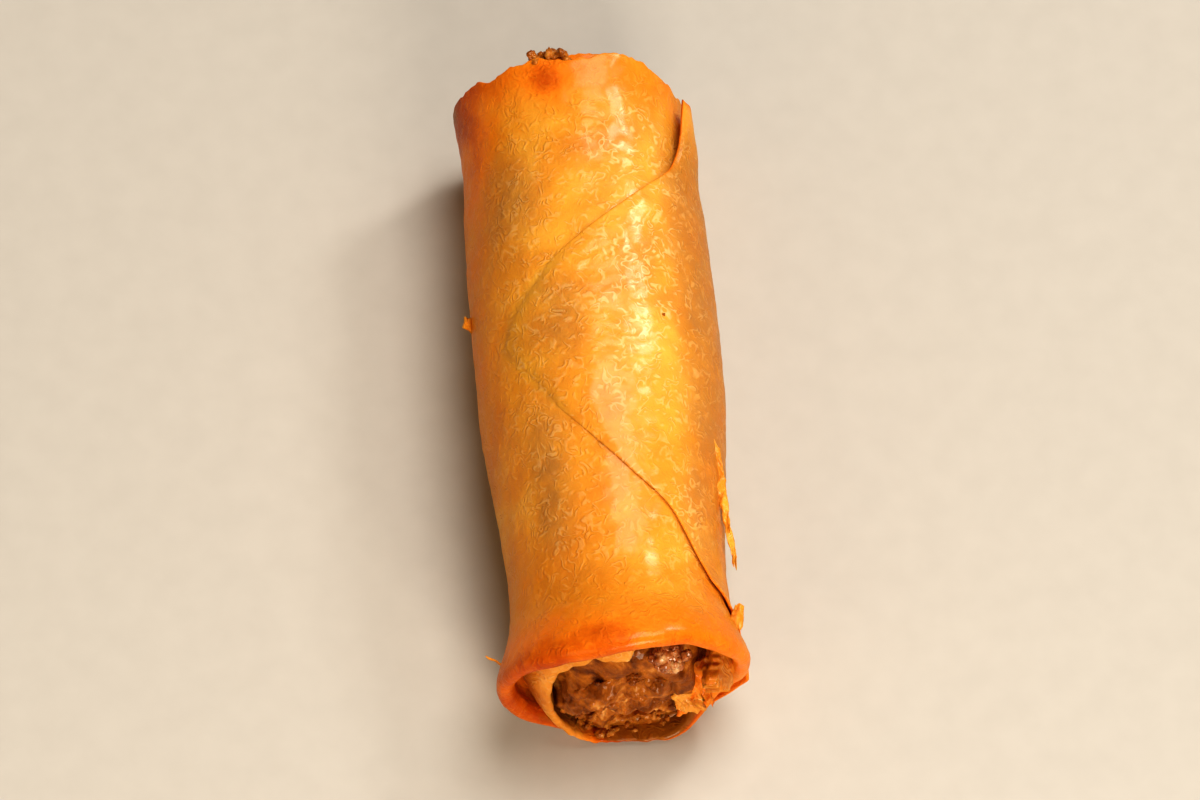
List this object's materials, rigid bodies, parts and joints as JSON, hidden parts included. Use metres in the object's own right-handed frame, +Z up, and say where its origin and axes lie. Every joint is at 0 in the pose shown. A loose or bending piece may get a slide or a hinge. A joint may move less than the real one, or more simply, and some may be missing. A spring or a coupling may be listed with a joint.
{
  "type": "fried spring roll piece",
  "caption": "Fried spring roll piece: a thin crisp pastry sheet rolled round minced filling, open at both ends, with a flared lip and a pointed corner flap.",
  "frame": {"origin": "under the middle of the roll, on the surface that it rests on", "axes": "+Z up, the roll lies along Y with its flared lip towards -Y"},
  "size_m": [0.0328, 0.086, 0.0309],
  "materials": {
    "fried_pastry": "thin golden fried pastry, satin with small oily glints, browner at both ends",
    "minced_filling": "moist brown minced filling in lumps and grains"
  },
  "bodies": {
    "root": {"wrapper": "fried_pastry", "filling": "minced_filling"}
  },
  "joints": []
}
